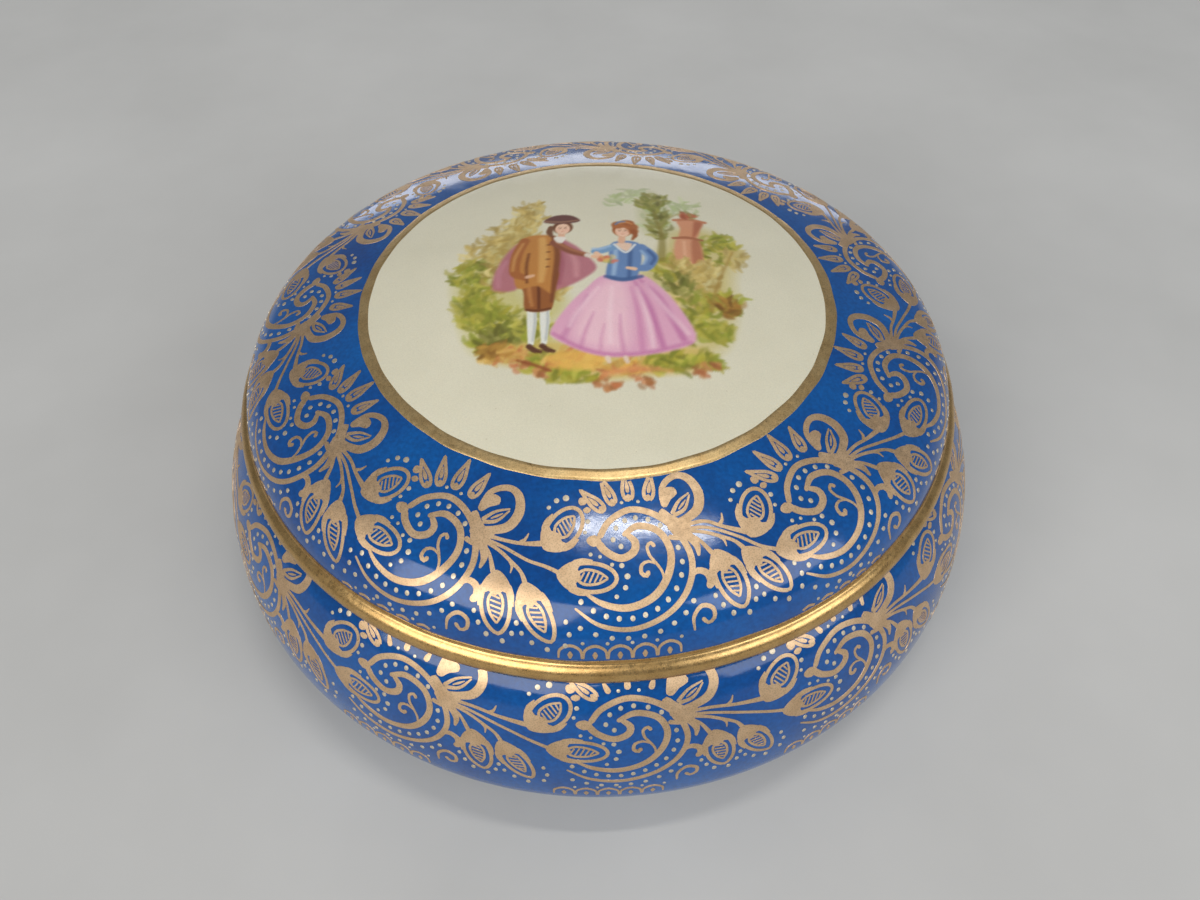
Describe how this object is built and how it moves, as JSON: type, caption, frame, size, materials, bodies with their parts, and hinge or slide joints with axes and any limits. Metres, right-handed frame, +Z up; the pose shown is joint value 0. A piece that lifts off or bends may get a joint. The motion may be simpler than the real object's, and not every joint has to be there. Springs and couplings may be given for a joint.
{
  "type": "trinket box",
  "caption": "Round squat porcelain trinket box on a foot ring, with a lift-off domed lid, cobalt blue and gilt outside, for rings and other small things.",
  "frame": {"origin": "on the table, under the centre of the foot ring", "axes": "+Z up along the axis of the box; the picture on the lid stands upright for someone on the -Y side"},
  "size_m": [0.1106, 0.1106, 0.0462],
  "materials": {
    "porcelain": "clear gloss glaze over white porcelain",
    "cobalt_glaze": "fired cobalt blue ground, high gloss",
    "picture_panel": "cream gloss glaze with a printed colour picture",
    "gilding": "burnished bright gold, slightly worn"
  },
  "bodies": {
    "base": {"base_bowl": "porcelain", "base_blue_ground": "cobalt_glaze"},
    "lid": {"lid_shell": "porcelain", "lid_blue_ground": "cobalt_glaze", "lid_picture_panel": "picture_panel", "lid_gilt_ring": "gilding", "lid_gilt_rim": "gilding"}
  },
  "joints": [
    {"name": "lid_lift", "type": "slide", "parent": "base", "child": "lid", "axis": [0, 0, 1], "range_m": [0, 0.06]}
  ]
}
